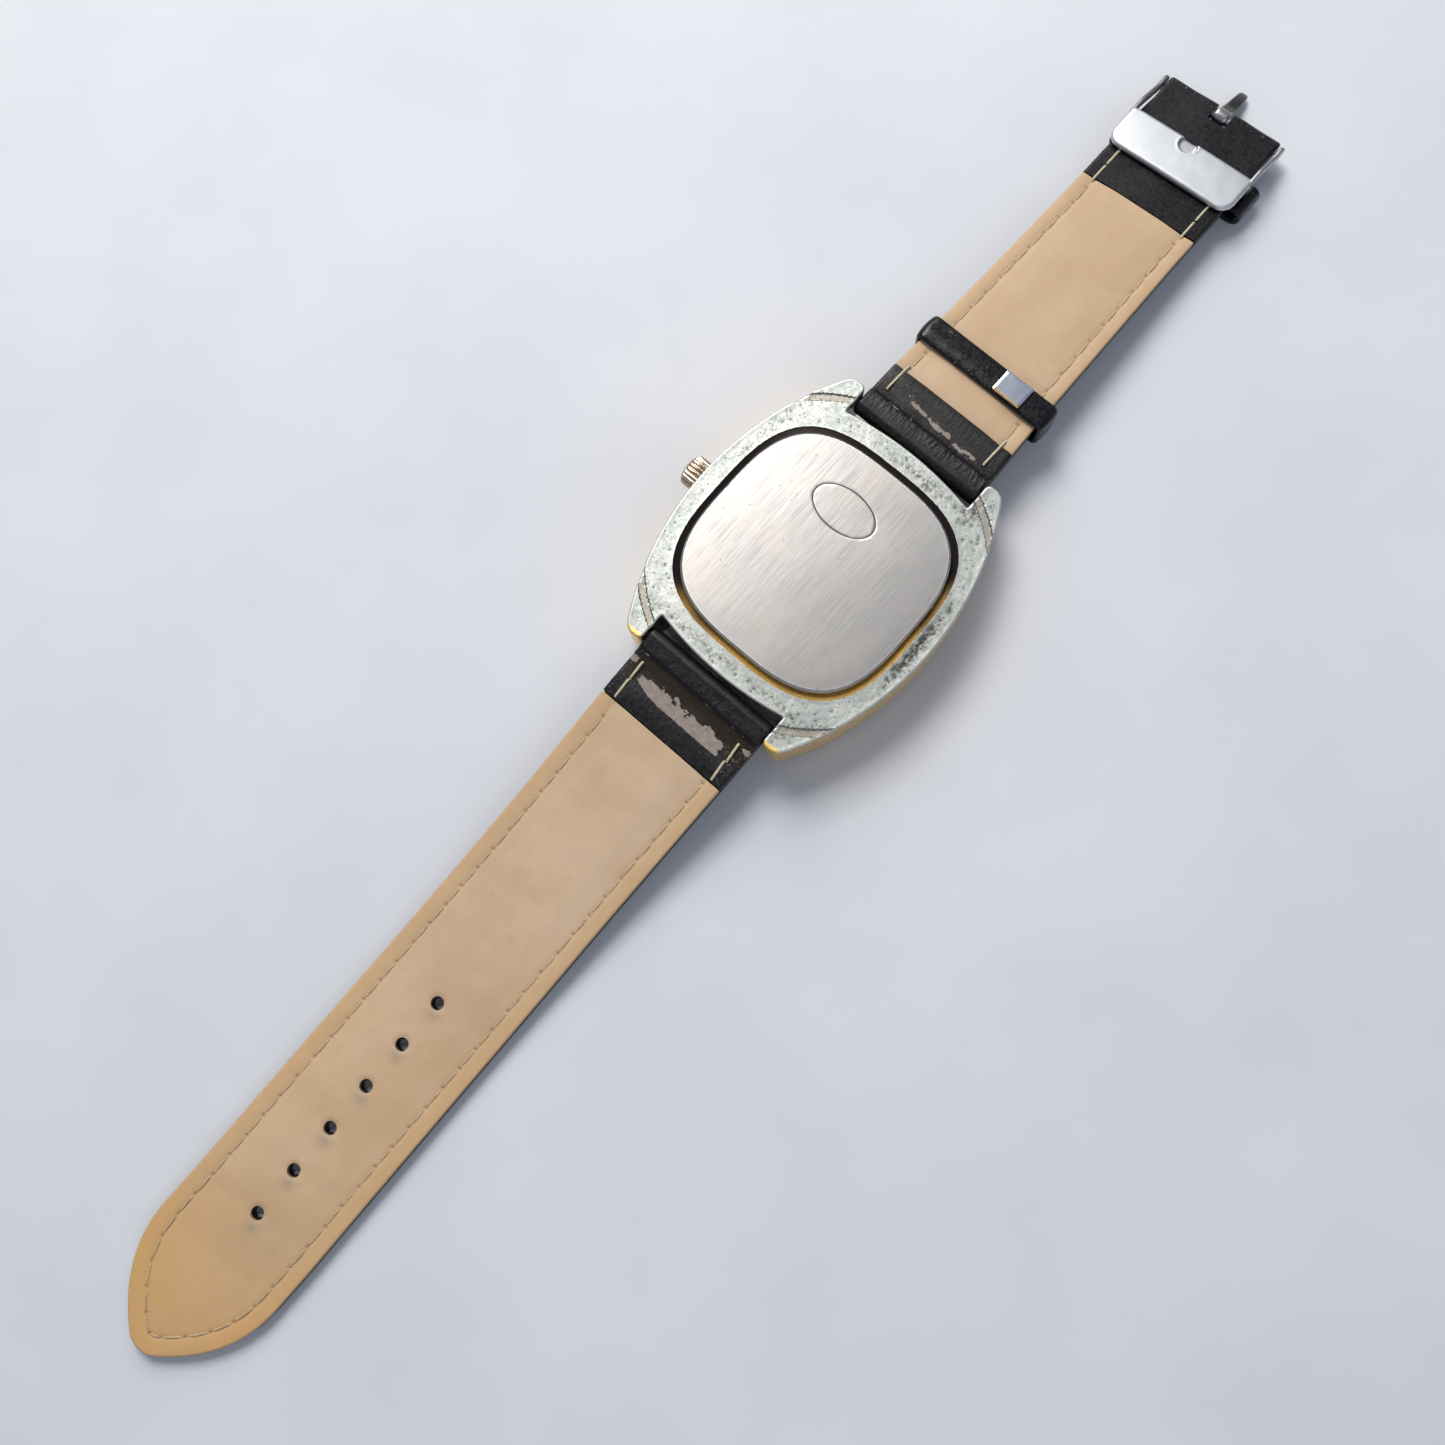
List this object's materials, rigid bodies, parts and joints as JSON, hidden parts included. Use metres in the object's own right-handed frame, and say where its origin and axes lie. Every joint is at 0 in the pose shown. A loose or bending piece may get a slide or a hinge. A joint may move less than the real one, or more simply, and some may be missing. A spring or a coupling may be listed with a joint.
{
  "type": "wristwatch",
  "caption": "Cushion-shaped quartz wristwatch lying face down, with a push-fit back and a buckled leather strap in two halves that swing on spring bars.",
  "frame": {"origin": "middle of the crystal's flat outer face, which the watch lies on", "axes": "+Z out of the case back, +Y towards the buckle end of the strap, the crown on the -X side"},
  "size_m": [0.0401, 0.2169, 0.0093],
  "materials": {
    "case_metal": "raw pitted casting on the back, gold plating on the flanks and edges",
    "cover_steel": "brushed along the strap",
    "crystal_glass": "polished",
    "crown_gold": "worn gold plating",
    "bright_steel": "polished",
    "buckle_steel": "satin with bright edges",
    "plate_metal": "fine matte",
    "gear_brass": "satin",
    "dial_paint": "satin lacquer",
    "coil_copper": "enamelled wire",
    "board_resin": "matte",
    "chip_resin": "matte",
    "holder_plastic": "moulded",
    "seal_rubber": "matte",
    "black_leather": "fine grain, worn and cracked at the folds",
    "tan_lining": "smooth matte, slightly padded"
  },
  "bodies": {
    "case": {"case_body": "case_metal", "case_back_gasket": "seal_rubber", "crystal": "crystal_glass", "crystal_gasket": "holder_plastic", "crown_tube": "bright_steel", "dial": "dial_paint", "dial_ring": "crown_gold", "movement_holder": "holder_plastic", "main_plate": "plate_metal", "train_bridge": "gear_brass", "stator": "plate_metal", "coil_core": "plate_metal", "coil_winding": "coil_copper", "circuit_board": "board_resin", "quartz_can": "bright_steel", "control_chip": "chip_resin", "battery": "bright_steel", "battery_clip": "bright_steel", "long_lug_bar_barrel": "bright_steel", "long_lug_bar_spring": "bright_steel", "short_lug_bar_barrel": "bright_steel", "short_lug_bar_spring": "bright_steel"},
    "back_cover": {"case_back_cover": "cover_steel"},
    "crown_seal": {"crown_gasket": "seal_rubber"},
    "crown_and_stem": {"crown": "crown_gold", "stem": "bright_steel"},
    "pinion": {"sliding_pinion": "bright_steel"},
    "lever": {"setting_lever": "bright_steel"},
    "seconds": {"seconds_wheel": "gear_brass", "second_hand": "crown_gold"},
    "intermediate": {"intermediate_wheel": "gear_brass"},
    "motor_rotor": {"rotor": "bright_steel"},
    "third": {"third_wheel": "gear_brass"},
    "minutes": {"centre_wheel": "gear_brass", "minute_hand": "crown_gold"},
    "minute_work": {"minute_wheel": "gear_brass"},
    "hours": {"hour_wheel": "gear_brass", "hour_hand": "crown_gold"},
    "setting": {"setting_wheel": "gear_brass"},
    "long_strap": {"long_strap_face": "black_leather", "long_strap_lining": "tan_lining"},
    "long_tip_left": {"long_lug_bar_tip_left": "bright_steel"},
    "long_tip_right": {"long_lug_bar_tip_right": "bright_steel"},
    "short_strap": {"short_strap_face": "black_leather", "short_strap_lining": "tan_lining", "fixed_keeper": "black_leather", "buckle_bar_barrel": "bright_steel", "buckle_bar_spring": "bright_steel"},
    "short_tip_left": {"short_lug_bar_tip_left": "bright_steel"},
    "short_tip_right": {"short_lug_bar_tip_right": "bright_steel"},
    "keeper": {"free_keeper": "black_leather", "keeper_clip": "bright_steel"},
    "buckle": {"buckle_frame": "buckle_steel"},
    "tongue": {"buckle_tongue": "buckle_steel"},
    "buckle_tip_left": {"buckle_bar_tip_left": "bright_steel"},
    "buckle_tip_right": {"buckle_bar_tip_right": "bright_steel"}
  },
  "joints": [
    {"name": "cover_lift", "type": "slide", "parent": "case", "child": "back_cover", "axis": [0, 0, 1], "range_m": [0, 0.03]},
    {"name": "crown_pull", "type": "slide", "parent": "case", "child": "crown_seal", "axis": [-1, 0, 0], "range_m": [0, 0.001]},
    {"name": "crown_turn", "type": "hinge", "parent": "crown_seal", "child": "crown_and_stem", "pos_m": [-0.02, 0, 0.0048], "axis": [-1, 0, 0], "continuous": true},
    {"name": "sliding_pinion_shift", "type": "slide", "parent": "crown_and_stem", "child": "pinion", "axis": [1, 0, 0], "range_m": [0, 0.0015]},
    {"name": "setting_lever_swing", "type": "hinge", "parent": "case", "child": "lever", "pos_m": [-0.0103, 0.0026, 0.0056], "axis": [0, 0, -1], "range_deg": [0, 22.5]},
    {"name": "seconds_turn", "type": "hinge", "parent": "case", "child": "seconds", "pos_m": [0, 0, 0.005], "axis": [0, 0, 1], "continuous": true},
    {"name": "intermediate_turn", "type": "hinge", "parent": "case", "child": "intermediate", "pos_m": [0, 0.00294, 0.0062], "axis": [0, 0, 1], "continuous": true},
    {"name": "rotor_turn", "type": "hinge", "parent": "case", "child": "motor_rotor", "pos_m": [0.00126, 0.00512, 0.006], "axis": [0, 0, 1], "continuous": true},
    {"name": "third_turn", "type": "hinge", "parent": "case", "child": "third", "pos_m": [-0.00153, -0.00265, 0.0055], "axis": [0, 0, 1], "continuous": true},
    {"name": "minutes_turn", "type": "hinge", "parent": "case", "child": "minutes", "pos_m": [0, 0, 0.005], "axis": [0, 0, 1], "continuous": true},
    {"name": "minute_wheel_turn", "type": "hinge", "parent": "case", "child": "minute_work", "pos_m": [-0.00225, 0, 0.004], "axis": [0, 0, 1], "continuous": true},
    {"name": "hours_turn", "type": "hinge", "parent": "case", "child": "hours", "pos_m": [0, 0, 0.0038], "axis": [0, 0, 1], "continuous": true},
    {"name": "setting_wheel_turn", "type": "hinge", "parent": "case", "child": "setting", "pos_m": [-0.00478, 0, 0.0041], "axis": [0, 0, 1], "continuous": true},
    {"name": "long_strap_swing", "type": "hinge", "parent": "case", "child": "long_strap", "pos_m": [0, -0.0203, 0.0069], "axis": [-1, 0, 0], "range_deg": [0, 90]},
    {"name": "short_strap_swing", "type": "hinge", "parent": "case", "child": "short_strap", "pos_m": [0, 0.0203, 0.0069], "axis": [1, 0, 0], "range_deg": [0, 90]},
    {"name": "free_keeper_slide", "type": "slide", "parent": "short_strap", "child": "keeper", "axis": [0, 0.9978, -0.0666], "range_m": [-0.002, 0.032]},
    {"name": "buckle_swing", "type": "hinge", "parent": "short_strap", "child": "buckle", "pos_m": [0, 0.0852, 0.00252], "axis": [-0.9976, -0.0698, 0], "range_deg": [0, 180]},
    {"name": "tongue_swing", "type": "hinge", "parent": "short_strap", "child": "tongue", "pos_m": [0, 0.0852, 0.00252], "axis": [0.9976, 0.0698, 0], "range_deg": [-90, 150]},
    {"name": "long_tip_left_press", "type": "slide", "parent": "case", "child": "long_tip_left", "axis": [1, 0, 0], "range_m": [0, 0.0011], "stiffness_N_per_m": 300, "springref_m": -0.0005, "deforming": ["long_lug_bar_spring"]},
    {"name": "long_tip_right_press", "type": "slide", "parent": "case", "child": "long_tip_right", "axis": [-1, 0, 0], "range_m": [0, 0.0011], "stiffness_N_per_m": 300, "springref_m": -0.0005, "deforming": ["long_lug_bar_spring"]},
    {"name": "short_tip_left_press", "type": "slide", "parent": "case", "child": "short_tip_left", "axis": [1, 0, 0], "range_m": [0, 0.0011], "stiffness_N_per_m": 300, "springref_m": -0.0005, "deforming": ["short_lug_bar_spring"]},
    {"name": "short_tip_right_press", "type": "slide", "parent": "case", "child": "short_tip_right", "axis": [-1, 0, 0], "range_m": [0, 0.0011], "stiffness_N_per_m": 300, "springref_m": -0.0005, "deforming": ["short_lug_bar_spring"]},
    {"name": "buckle_tip_left_press", "type": "slide", "parent": "short_strap", "child": "buckle_tip_left", "axis": [0.9976, 0.0698, 0], "range_m": [0, 0.00065], "stiffness_N_per_m": 300, "springref_m": -0.0005, "deforming": ["buckle_bar_spring"]},
    {"name": "buckle_tip_right_press", "type": "slide", "parent": "short_strap", "child": "buckle_tip_right", "axis": [-0.9976, -0.0698, 0], "range_m": [0, 0.00065], "stiffness_N_per_m": 300, "springref_m": -0.0005, "deforming": ["buckle_bar_spring"]}
  ],
  "couplings": [
    {"joint": "sliding_pinion_shift", "follows": "crown_pull", "ratio": 1.5},
    {"joint": "setting_lever_swing", "follows": "crown_pull", "rad_per_m": 384.62},
    {"joint": "intermediate_turn", "follows": "seconds_turn", "ratio": -6},
    {"joint": "rotor_turn", "follows": "seconds_turn", "ratio": 30},
    {"joint": "third_turn", "follows": "seconds_turn", "ratio": -0.13333},
    {"joint": "minutes_turn", "follows": "seconds_turn", "ratio": 0.016667},
    {"joint": "minute_wheel_turn", "follows": "seconds_turn", "ratio": -0.0055556},
    {"joint": "hours_turn", "follows": "seconds_turn", "ratio": 0.0013889},
    {"joint": "setting_wheel_turn", "follows": "seconds_turn", "ratio": 0.011111}
  ]
}
